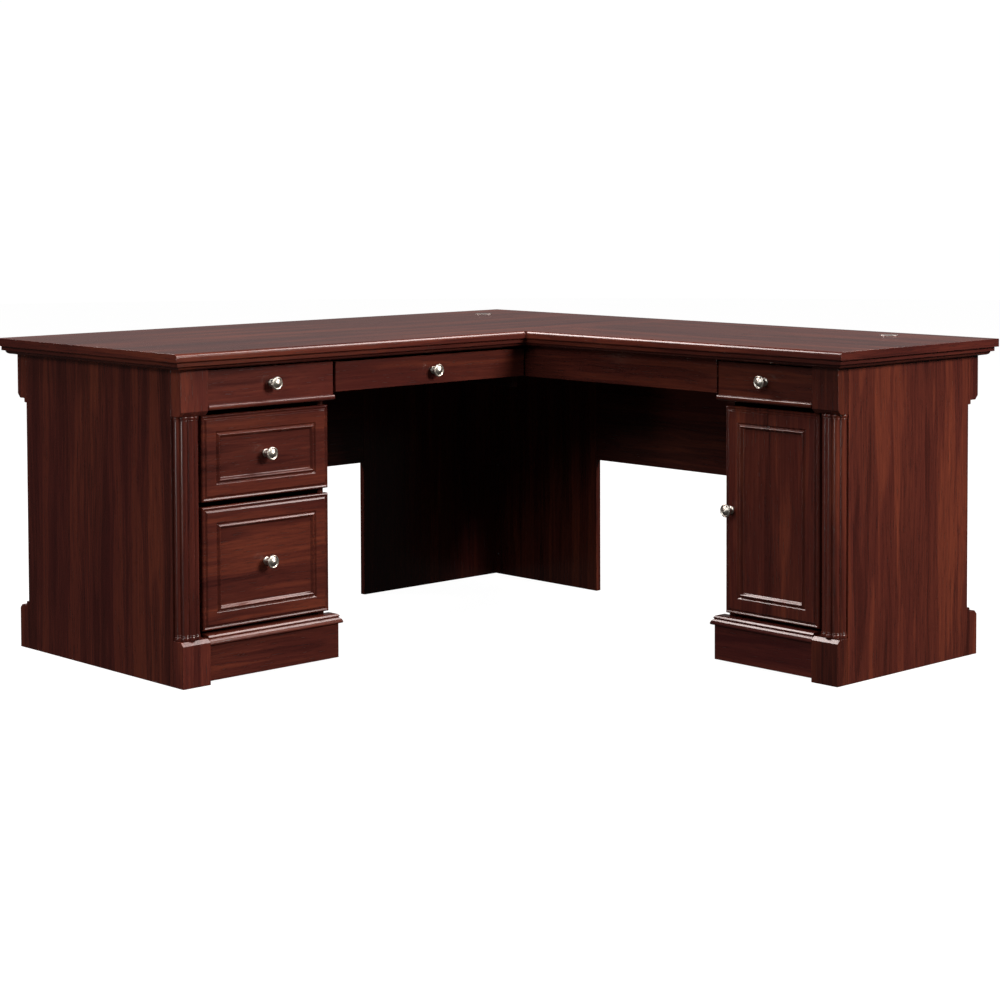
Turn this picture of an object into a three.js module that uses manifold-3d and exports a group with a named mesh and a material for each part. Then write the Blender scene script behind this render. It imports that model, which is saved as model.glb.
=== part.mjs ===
// Corner desk in two wings. Each wing is a pedestal, a kneehole and half of the corner, under a worktop
// with a crown moulding. The main wing holds three drawers and a keyboard shelf, the return wing a drawer
// above a cabinet with a door. Sizes are in millimetres, +Z is up, and the floor is at Z = 0.
//
// Both wings are built in one wing frame. s runs from the outer face of the end panel towards the corner,
// d runs from the front face of the corner blocks towards the back, and z runs up.
// The return wing is the main wing's mirror image across the diagonal through the corner.

import * as THREE from 'three';
import * as BufferGeometryUtils from 'three/addons/utils/BufferGeometryUtils.js';
import Module from 'manifold-3d';

const wasm = await Module();
wasm.setup();

// Overall sizes
const mainLength = 1654;
const returnLength = 1746;
const mainDepth = 747;
const returnDepth = 596;
const worktopHeight = 752;

// Fits
const joint = 0.3;            // between pieces that are fixed together
const reveal = 0.5;           // between a drawer front and the block beside it
const frontStandOff = 1.5;    // between a drawer front or door and the panel edges behind it
const runnerSpace = 13;       // on each side of a drawer box or keyboard tray

// Boards
const panelThickness = 16;
const topThickness = 19;
const topNose = 9;            // radius of the worktop's front edge, upper side
const topUnderNose = 3;       // the same, lower side
const topOverhang = 35;       // from the corner blocks to the edge of the worktop
const boxWall = 12;
const boxBottom = 6;

// Crown moulding under the worktop
const crownHeight = 21;
const crownFillet = 27.5;     // how far each step stands out from the blocks
const crownCove = 20.5;
const crownFoot = 14;
const crownFilletHeight = 10.5;
const crownFootHeight = 2;

// Corner blocks and columns
const blockWidth = 75;
const blockDepth = 38;
const plinthBlockHeight = 104.5;
const plinthChamfer = 8.5;
const friezeDrop = 104;       // frieze block below the crown
const friezeChamfer = 10;
const neckDepth = 9;          // small moulding where a back block meets the end panel
const neckHeight = 10;
const neckRound = 2.5;
const columnInset = 1.5;      // from the block's outer side
const columnInnerInset = 8.5; // from its inner side
const columnReeds = 5;
const reedDepth = 3.2;
const reedSteps = 6;
const capRingHeight = 11;
const baseRingHeight = 14;
const ringProud = 2;

// Plinth between the blocks
const railSetBack = 8;
const railLift = 7;
const plinthMouldingBottom = 89;
const plinthMouldingHeight = 22;
const plinthBeadHeight = 12;
const plinthUpperSetBack = 9;

// Pedestals, measured from the end panel's outer face
const mainPedestalWidth = 450;
const returnPedestalWidth = 372;
const plinthPastPanel = 20;   // how far the plinth runs past the inner panel
const partitionBehindBlock = 17;
const lowerFrontPastBlock = 3.5;
const bottomBoardTop = 105;

// Drawer fronts and door
const frontThickness = 16.5;
const upperFrontSetBack = 5;
const upperFrontUnderCrown = 3;
const upperFrontHeight = 91;
const frontBeadHeight = 13;
const frontBeadProud = 8.5;
const upperFrontPastPanel = 6;
const lowerFrontPastPanel = 3;
const doorShortOfPanel = 2;
const lipWidth = 12;          // stepped edge round a lower front
const lipDepth = 2.5;
const frontGap = 13;          // between the upper front and the lower ones
const drawerGap = 12;         // between the two lower drawer fronts
const plinthGap = 7;          // between the lower fronts and the plinth moulding
const middleFrontHeight = 195.5;
const grooveInset = 38;       // routed frame on a lower front
const grooveWidth = 9;
const grooveDepth = 4;

// Drawer boxes
const upperBoxSpace = 15;     // front's top edge above the box
const lowerBoxSpace = 30;
const boxRise = 14;           // box bottom above the bottom edge of its front
const mainBoxBackSpace = 145; // between a drawer box and the pedestal's back
const returnBoxBackSpace = 80;

// Keyboard shelf
const keyboardUnderCrown = 6;
const keyboardFrontHeight = 70;
const keyboardFrontGap = 7.6; // beside the top drawer front
const keyboardCornerGap = 4;  // before the return wing's front plane
const keyboardTrayRise = 6;   // tray above the bottom edge of its front
const keyboardTrayLength = 330;
const keyboardSideHeight = 48;
const keyboardHangerBack = 420;
const keyboardHangerDrop = 125;

// Kneehole
const modestyHeight = 371;
const mainLegWidth = 506;
const returnLegWidth = 421;
const apronUnderCrown = 78;   // how far it hangs below the crown
const apronGap = 5;           // beside the return drawer front
const apronPastCorner = 60;

// Cabinet
const shelfHeight = 352;
const shelfFrontSetBack = 70;
const shelfSlack = 1;         // between the shelf and the walls on each side
const hingePivotPastDoorEdge = 3;
const hingePivotDepth = 5;    // behind the door's face
const hingeFromDoorEnd = 75;
const hingePlateLength = 52;
const hingePlateHeight = 46;
const hingePlateThickness = 2;
const hingeArmHeight = 15;
const hingeArmThickness = 9;
const hingeArmSetBack = 2.5;  // clear of the turning door

// Knobs
const knobRadius = 15.5;
const knobLength = 27;
const knobSides = 24;

// Cable grommets
const grommetFlangeRadius = 23;
const grommetHoleRadius = 19;
const grommetProud = 1.5;
const grommetSkirt = 14;
const grommetWall = 2;
const grommetSides = 28;
const slotLength = 22;
const slotWidth = 11;
const slotOffset = 10;
const cornerGrommetFromBack = 150;   // both from the outer back edges of the corner
const cornerGrommetFromSide = 190;
const endGrommetFromBack = 95;
const endGrommetFromEnd = 252;

// Places that follow from those sizes
const topBottom = worktopHeight - topThickness;
const carcassTop = topBottom - joint;
const carcassFront = blockDepth;
const crownBottom = topBottom - crownHeight;
const friezeBlockBottom = crownBottom - friezeDrop;
const columnRadius = (blockWidth - columnInset - columnInnerInset) / 2;
const partitionFrom = blockWidth - partitionBehindBlock;
const lowerFrontFrom = blockWidth - lowerFrontPastBlock;
const lowerFrontFace = carcassFront - frontStandOff - frontThickness;
const upperFrontTop = crownBottom - upperFrontUnderCrown;
const upperFrontBottom = upperFrontTop - upperFrontHeight;
const lowerFrontsTop = upperFrontBottom - frontGap;
const lowerFrontsBottom = plinthMouldingBottom + plinthMouldingHeight + plinthGap;
const middleFrontBottom = lowerFrontsTop - middleFrontHeight;
const fileFrontTop = middleFrontBottom - drawerGap;
const keyboardFrontTop = crownBottom - keyboardUnderCrown;
const keyboardFrontBottom = keyboardFrontTop - keyboardFrontHeight;
const boxInset = partitionFrom + panelThickness + runnerSpace;

const wings = {
  main: { length: mainLength, depth: mainDepth, otherDepth: returnDepth, pedestal: mainPedestalWidth },
  return: { length: returnLength, depth: returnDepth, otherDepth: mainDepth, pedestal: returnPedestalWidth },
};
for (const wing of Object.values(wings)) {
  wing.backBlockFace = wing.depth - 2 * topOverhang;
  wing.backPanelBack = wing.backBlockFace - blockDepth;
  wing.backPanelFront = wing.backPanelBack - panelThickness;
  wing.innerPanelOuter = wing.pedestal - plinthPastPanel;
  wing.innerPanelInner = wing.innerPanelOuter - panelThickness;
  wing.innerCorner = wing.length - wing.otherDepth;   // where the two fronts' block planes cross
  wing.corner = wing.length - 2 * topOverhang;        // block plane of the other wing's back
}

// Materials: dark cherry laminate, the paler inside of the drawers, and brushed nickel
const cherryLaminate = new THREE.MeshStandardMaterial({ color: 0x4a1f1a, roughness: 0.32, metalness: 0 });
const darkLaminate = new THREE.MeshStandardMaterial({ color: 0x2f1513, roughness: 0.4, metalness: 0 });
const boxLaminate = new THREE.MeshStandardMaterial({ color: 0x5b2d22, roughness: 0.5, metalness: 0 });
const nickel = new THREE.MeshStandardMaterial({ color: 0xb9b6b0, roughness: 0.3, metalness: 1 });
const steel = new THREE.MeshStandardMaterial({ color: 0x9b9d9f, roughness: 0.35, metalness: 1 });

// A box between two corners.
function board(s0, s1, d0, d1, z0, z1) {
  const geometry = new THREE.BoxGeometry(s1 - s0, d1 - d0, z1 - z0);
  return geometry.translate((s0 + s1) / 2, (d0 + d1) / 2, (z0 + z1) / 2);
}

// A section of [d, z] points carried along s.
function prism(section, s0, s1) {
  const shape = new THREE.Shape(section.map(([d, z]) => new THREE.Vector2(d, z)));
  const geometry = new THREE.ExtrudeGeometry(shape, { depth: s1 - s0, bevelEnabled: false });
  const turn = new THREE.Matrix4().set(0, 0, 1, s0, 1, 0, 0, 0, 0, 1, 0, 0, 0, 0, 0, 1);
  return geometry.applyMatrix4(turn);
}

// A quarter circle of [d, z] points, about a centre, from one angle to another.
function arc(d, z, radius, fromDegrees, toDegrees, steps = 4) {
  const points = [];
  for (let i = 0; i <= steps; i += 1) {
    const angle = THREE.MathUtils.degToRad(fromDegrees + ((toDegrees - fromDegrees) * i) / steps);
    points.push([d + radius * Math.cos(angle), z + radius * Math.sin(angle)]);
  }
  return points;
}

// A moulding: a section of [out, z] points carried along a plan path of [s, d] points and mitred at its
// corners. out points to the right of the path. A skew of 1 lengthens an end by out, and -1 shortens it.
function moulding(section, path, startSkew, endSkew) {
  const last = path.length - 1;
  const directions = [];
  for (let i = 0; i < last; i += 1) {
    directions.push(new THREE.Vector2(path[i + 1][0] - path[i][0], path[i + 1][1] - path[i][1]).normalize());
  }
  const rightOf = (direction) => new THREE.Vector2(direction.y, -direction.x);
  const offsets = path.map((point, i) => {
    if (i === 0) {
      return rightOf(directions[0]).addScaledVector(directions[0], -startSkew);
    }
    if (i === last) {
      return rightOf(directions[last - 1]).addScaledVector(directions[last - 1], endSkew);
    }
    const before = rightOf(directions[i - 1]);
    const after = rightOf(directions[i]);
    return before.clone().add(after).divideScalar(1 + before.dot(after));
  });
  const positions = [];
  path.forEach(([s, d], i) => {
    for (const [out, z] of section) {
      positions.push(s + offsets[i].x * out, d + offsets[i].y * out, z);
    }
  });
  const count = section.length;
  const triangles = [];
  for (let i = 0; i < last; i += 1) {
    for (let j = 0; j < count; j += 1) {
      const a = i * count + j;
      const b = i * count + ((j + 1) % count);
      triangles.push(a, b, b + count, a, b + count, a + count);
    }
  }
  const cap = THREE.ShapeUtils.triangulateShape(section.map(([out, z]) => new THREE.Vector2(out, z)), []);
  const turned = THREE.ShapeUtils.isClockWise(section.map(([out, z]) => new THREE.Vector2(out, z)));
  for (const [a, b, c] of cap) {
    triangles.push(...(turned ? [a, b, c] : [a, c, b]));
    triangles.push(...(turned ? [c, b, a] : [b, c, a]).map((k) => k + last * count));
  }
  const geometry = new THREE.BufferGeometry();
  geometry.setAttribute('position', new THREE.Float32BufferAttribute(positions, 3));
  geometry.setIndex(triangles);
  return facingOut(geometry);
}

// Six times the signed volume of a closed geometry.
function signedVolume(geometry) {
  const position = geometry.getAttribute('position');
  const index = geometry.getIndex();
  const corners = [new THREE.Vector3(), new THREE.Vector3(), new THREE.Vector3()];
  let total = 0;
  for (let i = 0; i < index.count; i += 3) {
    corners.forEach((corner, k) => corner.fromBufferAttribute(position, index.getX(i + k)));
    total += corners[0].dot(corners[1].clone().cross(corners[2]));
  }
  return total;
}

// The same geometry with its faces turned to point out.
function facingOut(geometry) {
  if (signedVolume(geometry) < 0) {
    const index = geometry.getIndex();
    for (let i = 0; i < index.count; i += 3) {
      const second = index.getX(i + 1);
      index.setX(i + 1, index.getX(i + 2));
      index.setX(i + 2, second);
    }
  }
  return geometry;
}

// Solids for joining and cutting.
function toSolid(geometry) {
  const bare = geometry.clone();
  bare.deleteAttribute('normal');
  bare.deleteAttribute('uv');
  const merged = BufferGeometryUtils.mergeVertices(bare, 1e-4);
  const vertProperties = new Float32Array(merged.getAttribute('position').array);
  const triVerts = new Uint32Array(merged.getIndex().array);
  return new wasm.Manifold(new wasm.Mesh({ numProp: 3, vertProperties, triVerts }));
}

function fromSolid(solid) {
  const mesh = solid.getMesh();
  const geometry = new THREE.BufferGeometry();
  geometry.setAttribute('position', new THREE.Float32BufferAttribute(mesh.vertProperties, 3));
  geometry.setIndex(new THREE.Uint32BufferAttribute(mesh.triVerts, 1));
  return geometry;
}

function joined(...geometries) {
  return fromSolid(geometries.map(toSolid).reduce((sum, solid) => sum.add(solid)));
}

function cut(geometry, ...tools) {
  return fromSolid(tools.map(toSolid).reduce((rest, tool) => rest.subtract(tool), toSolid(geometry)));
}

// Wing groups, with their origins at the outer front corner of the corner blocks.
const desk = new THREE.Group();
const mainWing = new THREE.Group();
mainWing.position.set(topOverhang - mainLength / 2, returnLength / 2 - mainDepth + topOverhang, 0);
const returnWing = new THREE.Group();
returnWing.matrixAutoUpdate = false;
returnWing.matrix.makeBasis(
  new THREE.Vector3(0, 1, 0), new THREE.Vector3(1, 0, 0), new THREE.Vector3(0, 0, 1));
returnWing.matrix.setPosition(mainLength / 2 - returnDepth + topOverhang, topOverhang - returnLength / 2, 0);
desk.add(mainWing, returnWing);
wings.main.group = mainWing;
wings.return.group = returnWing;

function addPiece(group, name, geometry, material) {
  const mesh = new THREE.Mesh(geometry, material.clone());
  mesh.name = name;
  group.add(mesh);
  return mesh;
}

// Worktops. The return top butts against the main top's front edge.
function topSection(depth) {
  const front = -topOverhang;
  const back = depth - topOverhang;
  return [
    ...arc(front + topUnderNose, topBottom + topUnderNose, topUnderNose, 270, 180, 2),
    ...arc(front + topNose, worktopHeight - topNose, topNose, 180, 90, 5),
    [back, worktopHeight],
    [back, topBottom],
  ];
}

function grommetHole(s, d) {
  const bore = new THREE.CylinderGeometry(grommetHoleRadius, grommetHoleRadius, 3 * topThickness, grommetSides);
  return bore.rotateX(Math.PI / 2).translate(s, d, worktopHeight - topThickness / 2);
}

const cornerGrommet = {
  s: mainLength - topOverhang - cornerGrommetFromSide,
  d: mainDepth - topOverhang - cornerGrommetFromBack,
};
const endGrommet = {
  s: endGrommetFromEnd - topOverhang,
  d: returnDepth - topOverhang - endGrommetFromBack,
};

function makeWorktops() {
  const openEdgeEnd = wings.main.innerCorner - topOverhang;
  const farEnd = mainLength - topOverhang;
  const rounded = prism(topSection(mainDepth), -topOverhang, openEdgeEnd);
  const back = mainDepth - topOverhang;
  const square = board(openEdgeEnd - 1, farEnd, -topOverhang, back, topBottom, worktopHeight);
  addPiece(mainWing, 'main_top',
    cut(joined(rounded, square), grommetHole(cornerGrommet.s, cornerGrommet.d)), cherryLaminate);
  const returnEnd = wings.return.innerCorner - topOverhang - joint;
  addPiece(returnWing, 'return_top',
    cut(prism(topSection(returnDepth), -topOverhang, returnEnd), grommetHole(endGrommet.s, endGrommet.d)),
    cherryLaminate);
}

// Crown mouldings: front, end and back of each wing, mitred at the corners.
const crownSection = [
  [joint, crownBottom],
  [crownFoot, crownBottom + crownFootHeight],
  [crownCove, topBottom - crownFilletHeight - 1],
  [crownCove, topBottom - crownFilletHeight],
  [crownFillet, topBottom - crownFilletHeight],
  [crownFillet, carcassTop],
  [joint, carcassTop],
];

function makeCrown(name, wing) {
  const g = joint / 2;
  addPiece(wing.group, `${name}_crown_front`,
    moulding(crownSection, [[g, 0], [wing.innerCorner - g, 0]], 1, -1), cherryLaminate);
  addPiece(wing.group, `${name}_crown_end`,
    moulding(crownSection, [[0, wing.backBlockFace - g], [0, g]], 1, 1), cherryLaminate);
  addPiece(wing.group, `${name}_crown_back`,
    moulding(crownSection, [[wing.corner - g, wing.backBlockFace], [g, wing.backBlockFace]], 1, 1),
    cherryLaminate);
}

// Corner blocks in front of and behind the end panel, with the neck mouldings of the back ones.
function makeBlocks(name, wing) {
  const frontInner = blockDepth - joint;
  const backInner = wing.backPanelBack + joint;
  const backFace = wing.backBlockFace;
  const plinthEdge = plinthBlockHeight - plinthChamfer;
  const friezeEdge = friezeBlockBottom + friezeChamfer;
  const neck = backInner + neckDepth;
  const frontPlinth = [
    [0, 0], [frontInner, 0], [frontInner, plinthBlockHeight], [plinthChamfer, plinthBlockHeight],
    [0, plinthEdge],
  ];
  const frontFrieze = [
    [frontInner, carcassTop], [0, carcassTop], [0, friezeEdge], [friezeChamfer, friezeBlockBottom],
    [frontInner, friezeBlockBottom],
  ];
  const backPlinth = [
    [backInner, 0], [backFace, 0], [backFace, plinthEdge], [backFace - plinthChamfer, plinthBlockHeight],
    [neck, plinthBlockHeight], [neck, plinthBlockHeight + neckHeight - neckRound],
    [neck - neckRound, plinthBlockHeight + neckHeight], [backInner, plinthBlockHeight + neckHeight],
  ];
  const backFrieze = [
    [backInner, carcassTop], [backFace, carcassTop], [backFace, friezeEdge],
    [backFace - friezeChamfer, friezeBlockBottom], [neck, friezeBlockBottom],
    [neck, friezeBlockBottom - neckHeight + neckRound], [neck - neckRound, friezeBlockBottom - neckHeight],
    [backInner, friezeBlockBottom - neckHeight],
  ];
  addPiece(wing.group, `${name}_front_plinth_block`, prism(frontPlinth, 0, blockWidth), cherryLaminate);
  addPiece(wing.group, `${name}_front_frieze_block`, prism(frontFrieze, 0, blockWidth), cherryLaminate);
  addPiece(wing.group, `${name}_back_plinth_block`, prism(backPlinth, 0, blockWidth), cherryLaminate);
  addPiece(wing.group, `${name}_back_frieze_block`, prism(backFrieze, 0, blockWidth), cherryLaminate);
}

// Half-round reeded column between the front blocks, with a ring at each end.
function reededOutline(radius) {
  const points = [];
  const reedAngle = Math.PI / columnReeds;
  for (let reed = 0; reed < columnReeds; reed += 1) {
    for (let i = 0; i < reedSteps; i += 1) {
      const across = i / reedSteps;
      const angle = (reed + across) * reedAngle;
      const r = radius - reedDepth * (1 - Math.sin(Math.PI * across));
      points.push(new THREE.Vector2(-r * Math.cos(angle), -r * Math.sin(angle)));
    }
  }
  points.push(new THREE.Vector2(radius - reedDepth, 0));
  return points;
}

function columnSlice(radius, z0, z1, round) {
  const shape = new THREE.Shape(reededOutline(radius - round));
  const settings = {
    depth: z1 - z0 - 2 * round,
    bevelEnabled: round > 0,
    bevelThickness: round,
    bevelSize: round,
    bevelSegments: 2,
  };
  return new THREE.ExtrudeGeometry(shape, settings).translate(0, 0, z0 + round);
}

function makeColumn(name, wing) {
  const z0 = plinthBlockHeight + joint;
  const z1 = friezeBlockBottom - joint;
  const centreS = columnInset + columnRadius;
  const ringRadius = columnRadius + ringProud;
  const whole = joined(
    columnSlice(columnRadius, z0, z1, 0),
    columnSlice(ringRadius, z0, z0 + baseRingHeight, ringProud),
    columnSlice(ringRadius, z1 - capRingHeight, z1, ringProud),
  ).translate(centreS, blockDepth - joint, 0);
  const behind = board(-2 * blockWidth, 2 * blockWidth, blockDepth - joint, 2 * blockDepth, 0, worktopHeight);
  const beyond = board(-2 * blockWidth, 0, -blockDepth, 2 * blockDepth, 0, worktopHeight);
  addPiece(wing.group, `${name}_column`, cut(whole, behind, beyond), cherryLaminate);
}

// Carcass boards of one pedestal.
function makeCarcass(name, wing) {
  const t = panelThickness;
  const back = wing.backPanelBack;
  const partitionTo = partitionFrom + t;
  const inner = wing.innerPanelInner;
  const insideBack = wing.backPanelFront - joint;
  const piece = (part, material, ...sides) => {
    addPiece(wing.group, `${name}_${part}`, board(...sides), material);
  };
  piece('end_panel', cherryLaminate, 0, t, carcassFront, back, 0, carcassTop);
  piece('partition', darkLaminate, partitionFrom, partitionTo, carcassFront, insideBack,
    bottomBoardTop + joint, carcassTop);
  piece('inner_panel', cherryLaminate, inner, inner + t, carcassFront, back, 0, carcassTop);
  piece('pedestal_bottom', darkLaminate, t + joint, inner - joint, carcassFront, insideBack,
    bottomBoardTop - t, bottomBoardTop);
  piece('pedestal_back', cherryLaminate, t + joint, inner - joint, wing.backPanelFront, back, 0, carcassTop);
}

// Plinth rail, and the moulding on it that turns the inner corner.
function makePlinth(name, wing) {
  const back = blockDepth - joint;
  const from = blockWidth + joint;
  const to = wing.pedestal;
  addPiece(wing.group, `${name}_plinth_rail`,
    board(from, to, railSetBack, back, railLift, plinthMouldingBottom - joint), cherryLaminate);
  const z0 = plinthMouldingBottom;
  const z1 = z0 + plinthMouldingHeight;
  const beadTop = z0 + plinthBeadHeight;
  const upperOut = railSetBack - plinthUpperSetBack;
  const upperRound = (z1 - beadTop) / 2;
  const beadRound = plinthBeadHeight / 2;
  const outer = arc(railSetBack - beadRound, z0 + beadRound, beadRound, -90, 90, 6);
  const upper = arc(upperOut - upperRound + 3, z1 - upperRound, upperRound, -60, 90, 4);
  const inside = railSetBack - back;
  const section = [[inside, z0], ...outer, ...upper, [inside, z1]];
  const sideSection = section.map(([out, z]) => [Math.max(out, inside), z]);
  addPiece(wing.group, `${name}_plinth_moulding`,
    cut(moulding(sideSection, [[from, railSetBack], [to, railSetBack], [to, back]], 0, 0),
      board(from - 1, 2 * to, back, 3 * blockDepth, 0, 2 * z1)), cherryLaminate);
}

// Knob: a domed face with a raised rim on a waisted stem, turned about d.
function makeKnob(group, name, s, z, face) {
  const r = knobRadius;
  const l = knobLength;
  const profile = [
    [0, 0], [0.56 * r, 0], [0.56 * r, 0.07 * l], [0.36 * r, 0.17 * l], [0.33 * r, 0.38 * l],
    [0.52 * r, 0.52 * l], [0.9 * r, 0.62 * l], [r, 0.72 * l], [0.96 * r, 0.82 * l], [0.84 * r, 0.87 * l], [0.72 * r, 0.84 * l],
    [0.5 * r, 0.95 * l], [0, l],
  ];
  const lathe = new THREE.LatheGeometry(profile.map(([x, y]) => new THREE.Vector2(x, y)), knobSides);
  const bare = BufferGeometryUtils.mergeVertices(stripped(lathe), 1e-4);
  const knob = facingOut(withoutSlivers(bare)).rotateX(Math.PI);
  addPiece(group, name, knob.translate(s, face - joint, z), nickel);
}

function stripped(geometry) {
  geometry.deleteAttribute('normal');
  geometry.deleteAttribute('uv');
  return geometry;
}

// A lathe leaves triangles with two corners on the axis, and they are dropped.
function withoutSlivers(geometry) {
  const index = geometry.getIndex();
  const kept = [];
  for (let i = 0; i < index.count; i += 3) {
    const [a, b, c] = [index.getX(i), index.getX(i + 1), index.getX(i + 2)];
    if (a !== b && b !== c && c !== a) {
      kept.push(a, b, c);
    }
  }
  geometry.setIndex(kept);
  return geometry;
}

// Upper drawer front: a flat board with a bead along its bottom edge.
function upperFront(s0, s1) {
  const face = upperFrontSetBack;
  const back = face + panelThickness;
  const beadZ = upperFrontBottom + frontBeadHeight / 2;
  const bead = arc(face, beadZ, 1, 90, 270, 8).map(([d, z]) => [
    face + (d - face) * frontBeadProud, beadZ + (z - beadZ) * (frontBeadHeight / 2),
  ]);
  return prism([[back, upperFrontTop], [face, upperFrontTop], ...bead, [back, upperFrontBottom]], s0, s1);
}

// Lower front or door: a board with a stepped lip round its edge and a routed frame on its face.
function lowerFront(s0, s1, z0, z1) {
  const face = lowerFrontFace;
  const back = face + frontThickness;
  const slab = board(s0, s1, face + lipDepth, back, z0, z1);
  const raised = board(s0 + lipWidth, s1 - lipWidth, face, face + 2 * lipDepth, z0 + lipWidth, z1 - lipWidth);
  const strips = [];
  const [gs0, gs1, gz0, gz1] = [s0 + grooveInset, s1 - grooveInset, z0 + grooveInset, z1 - grooveInset];
  const w = grooveWidth;
  const [cutFront, cutBack] = [face - lipDepth, face + grooveDepth];
  strips.push(board(gs0, gs1, cutFront, cutBack, gz0, gz0 + w));
  strips.push(board(gs0, gs1, cutFront, cutBack, gz1 - w, gz1));
  strips.push(board(gs0, gs0 + w, cutFront, cutBack, gz0, gz1));
  strips.push(board(gs1 - w, gs1, cutFront, cutBack, gz0, gz1));
  return cut(joined(slab, raised), ...strips);
}

// Drawer box: two sides, a back and a bottom, open at the top and towards the front board.
function drawerBox(s0, s1, d0, d1, z0, height) {
  const outside = board(s0, s1, d0, d1, z0, z0 + height);
  const hollow = board(s0 + boxWall, s1 - boxWall, d0 - boxWall, d1 - boxWall, z0 + boxBottom, z0 + 2 * height);
  return cut(outside, hollow);
}

function makeUpperDrawer(name, wing, backSpace) {
  const s0 = blockWidth + reveal;
  const s1 = wing.innerPanelOuter + upperFrontPastPanel;
  const boxEnd = wing.innerPanelInner - runnerSpace;
  const boxFront = upperFrontSetBack + panelThickness + joint;
  const boxBack = wing.backPanelFront - backSpace;
  const boxZ = upperFrontBottom + boxRise;
  const boxHeight = upperFrontHeight - boxRise - upperBoxSpace;
  addPiece(wing.group, `${name}_drawer_front`, upperFront(s0, s1), cherryLaminate);
  addPiece(wing.group, `${name}_drawer_box`,
    drawerBox(boxInset, boxEnd, boxFront, boxBack, boxZ, boxHeight), boxLaminate);
  const knobZ = (upperFrontTop + upperFrontBottom + frontBeadHeight) / 2 - 1;
  makeKnob(wing.group, `${name}_drawer_knob`, (s0 + s1) / 2, knobZ, upperFrontSetBack);
}

function makeLowerDrawer(name, wing, z0, z1, backSpace) {
  const s1 = wing.innerPanelOuter + lowerFrontPastPanel;
  const boxEnd = wing.innerPanelInner - runnerSpace;
  const boxFront = lowerFrontFace + frontThickness + joint;
  const boxBack = wing.backPanelFront - backSpace;
  const boxHeight = z1 - z0 - boxRise - lowerBoxSpace;
  addPiece(wing.group, `${name}_drawer_front`, lowerFront(lowerFrontFrom, s1, z0, z1), cherryLaminate);
  addPiece(wing.group, `${name}_drawer_box`,
    drawerBox(boxInset, boxEnd, boxFront, boxBack, z0 + boxRise, boxHeight), boxLaminate);
  makeKnob(wing.group, `${name}_drawer_knob`, (lowerFrontFrom + s1) / 2, (z0 + z1) / 2, lowerFrontFace);
}

// Keyboard shelf: a tray on runners between the pedestal and a hanger, with a front that drops down.
function makeKeyboardShelf() {
  const wing = wings.main;
  const drawerEnd = wing.innerPanelOuter + upperFrontPastPanel;
  const s0 = drawerEnd + keyboardFrontGap;
  const s1 = wing.innerCorner - keyboardCornerGap;
  const face = upperFrontSetBack;
  const back = face + panelThickness;
  addPiece(wing.group, 'keyboard_front', board(s0, s1, face, back, keyboardFrontBottom, keyboardFrontTop),
    cherryLaminate);
  const knobZ = (keyboardFrontBottom + keyboardFrontTop) / 2 - 2;
  makeKnob(wing.group, 'keyboard_knob', (s0 + s1) / 2, knobZ, face);
  const hangerTo = s1 - keyboardCornerGap;
  const hangerFrom = hangerTo - panelThickness;
  addPiece(wing.group, 'keyboard_hanger',
    board(hangerFrom, hangerTo, back + keyboardCornerGap, keyboardHangerBack, carcassTop - keyboardHangerDrop,
      carcassTop), darkLaminate);
  const tray0 = wing.innerPanelOuter + runnerSpace;
  const tray1 = hangerFrom - runnerSpace;
  const trayZ = keyboardFrontBottom + keyboardTrayRise;
  const trayFront = back + joint;
  const trayBack = trayFront + keyboardTrayLength;
  const tray = board(tray0, tray1, trayFront, trayBack, trayZ, trayZ + panelThickness);
  const side = (a, b) => board(a, b, trayFront, trayBack, trayZ, trayZ + keyboardSideHeight);
  const rear = board(tray0, tray1, trayBack - boxWall, trayBack, trayZ, trayZ + keyboardSideHeight);
  addPiece(wing.group, 'keyboard_tray',
    joined(tray, side(tray0, tray0 + boxWall), side(tray1 - boxWall, tray1), rear), boxLaminate);
}

// Kneehole: modesty panels and the two boards of the corner leg, in one plane with the pedestal backs.
function makeKneehole() {
  const legBack = { main: wings.main.corner - blockDepth, return: wings.return.corner - blockDepth };
  const legInner = { main: legBack.main, return: legBack.return - panelThickness - joint };
  const legWidth = { main: mainLegWidth, return: returnLegWidth };
  for (const [name, wing] of Object.entries(wings)) {
    const legFrom = legBack[name] - legWidth[name];
    addPiece(wing.group, `${name}_corner_leg`,
      board(legFrom, legInner[name], wing.backPanelFront, wing.backPanelBack, 0, carcassTop), cherryLaminate);
    addPiece(wing.group, `${name}_modesty_panel`,
      board(wing.innerPanelOuter + joint, legFrom - joint, wing.backPanelFront, wing.backPanelBack,
        topBottom - modestyHeight, carcassTop), cherryLaminate);
  }
  const wing = wings.return;
  const apronFrom = wing.innerPanelOuter + upperFrontPastPanel + apronGap;
  addPiece(wing.group, 'return_apron',
    board(apronFrom, wing.innerCorner + apronPastCorner, upperFrontSetBack, upperFrontSetBack + panelThickness,
      crownBottom - apronUnderCrown, carcassTop), cherryLaminate);
}

// Cabinet: door, knob, hinges and a loose shelf.
const doorFrom = lowerFrontFrom;
const doorTo = wings.return.innerPanelOuter - doorShortOfPanel;

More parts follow.
